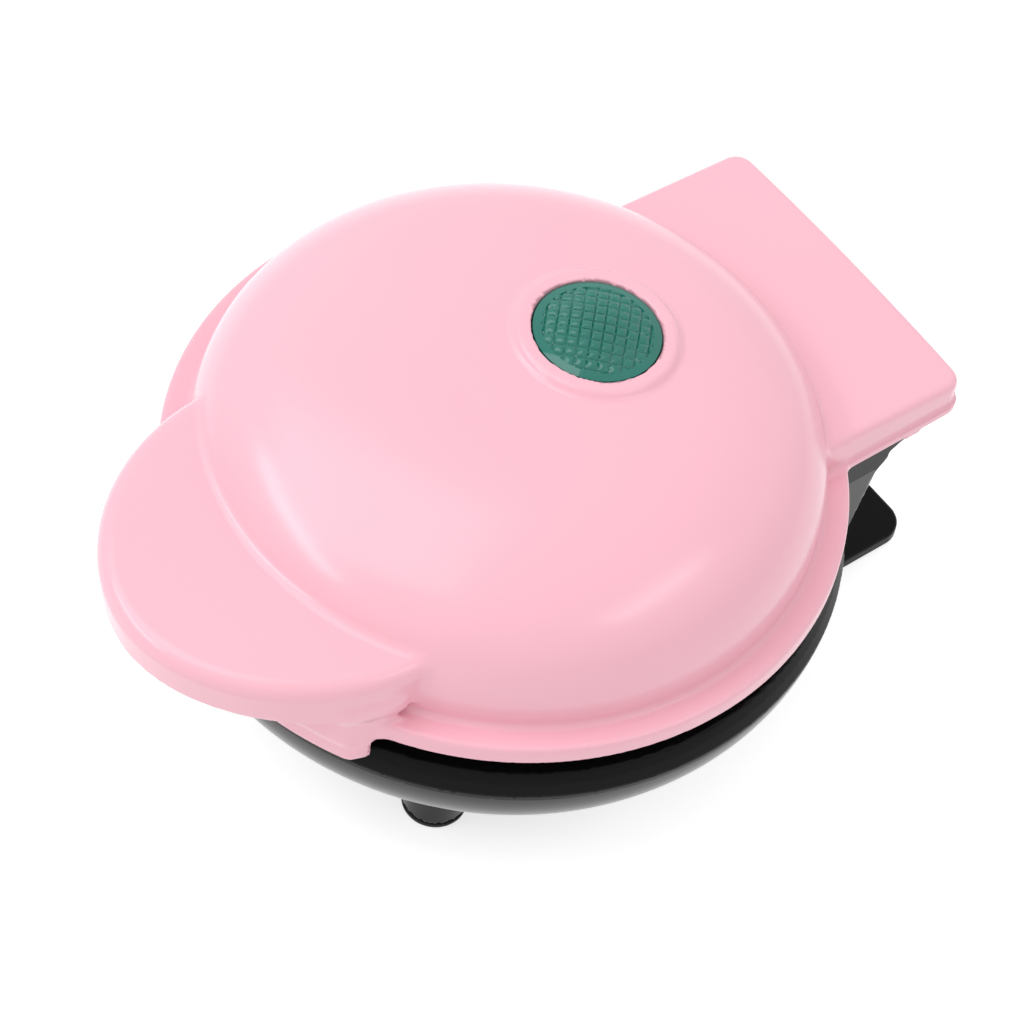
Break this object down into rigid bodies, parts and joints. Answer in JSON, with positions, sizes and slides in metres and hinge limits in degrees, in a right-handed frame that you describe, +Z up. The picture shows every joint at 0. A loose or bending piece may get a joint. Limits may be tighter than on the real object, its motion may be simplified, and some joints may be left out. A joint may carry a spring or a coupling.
{
  "type": "mini waffle maker",
  "caption": "Small round waffle maker with a domed hinged lid, front bill handle, indicator lens, round waffle-grid plates and a bowl base with a rear neck and feet.",
  "frame": {"origin": "on the surface that the feet stand on, under the middle of the closed object's bounding box", "axes": "+Z up, -Y towards the handle (front), +Y towards the hinge and neck (rear), +X to the right seen from the front"},
  "size_m": [0.1274, 0.1644, 0.0735],
  "materials": {
    "pink_gloss": "glossy moulded plastic",
    "black_gloss": "glossy moulded plastic",
    "nonstick_coating": "black non-stick coating on cast aluminium",
    "steel": "plain",
    "tinned_sheet": "pressed sheet",
    "element_sheath": "heat-darkened sheath",
    "teal_lens": "translucent, with a prism grid",
    "lamp_glass": "clear",
    "cream_nylon": "satin",
    "brown_resin": "satin",
    "black_rubber": "matte",
    "glass_sleeving": "woven sleeving"
  },
  "bodies": {
    "base": {"base_harness": "glass_sleeving", "base_shell": "black_gloss", "cord_gland": "black_rubber", "foot_pad_1": "black_rubber", "foot_pad_2": "black_rubber", "foot_pad_3": "black_rubber", "foot_pad_4": "black_rubber", "hinge_pin_left": "steel", "hinge_pin_right": "steel", "lower_heat_shield": "tinned_sheet", "lower_heating_element": "element_sheath", "lower_plate": "nonstick_coating", "lower_plate_screw_1": "steel", "lower_plate_screw_2": "steel", "lower_plate_screw_3": "steel", "rear_stand_plate": "black_gloss", "stand_plate_screw_1": "steel", "stand_plate_screw_2": "steel", "terminal_block": "cream_nylon", "terminal_block_screw": "steel"},
    "lid": {"fuse_clip": "tinned_sheet", "indicator_lamp": "lamp_glass", "indicator_lens": "teal_lens", "lens_retainer": "cream_nylon", "lid_cover": "pink_gloss", "lid_harness": "glass_sleeving", "shield_screw_1": "steel", "shield_screw_2": "steel", "shield_screw_3": "steel", "thermal_fuse": "steel", "thermostat": "brown_resin", "thermostat_screw_1": "steel", "thermostat_screw_2": "steel", "upper_heat_shield": "tinned_sheet", "upper_heating_element": "element_sheath", "upper_plate": "nonstick_coating", "upper_plate_screw_1": "steel", "upper_plate_screw_2": "steel", "upper_plate_screw_3": "steel"}
  },
  "joints": [
    {"name": "lid_hinge", "type": "hinge", "parent": "base", "child": "lid", "pos_m": [0, 0.0715, 0.0438], "axis": [-1, 0, 0], "range_deg": [0, 100]}
  ]
}
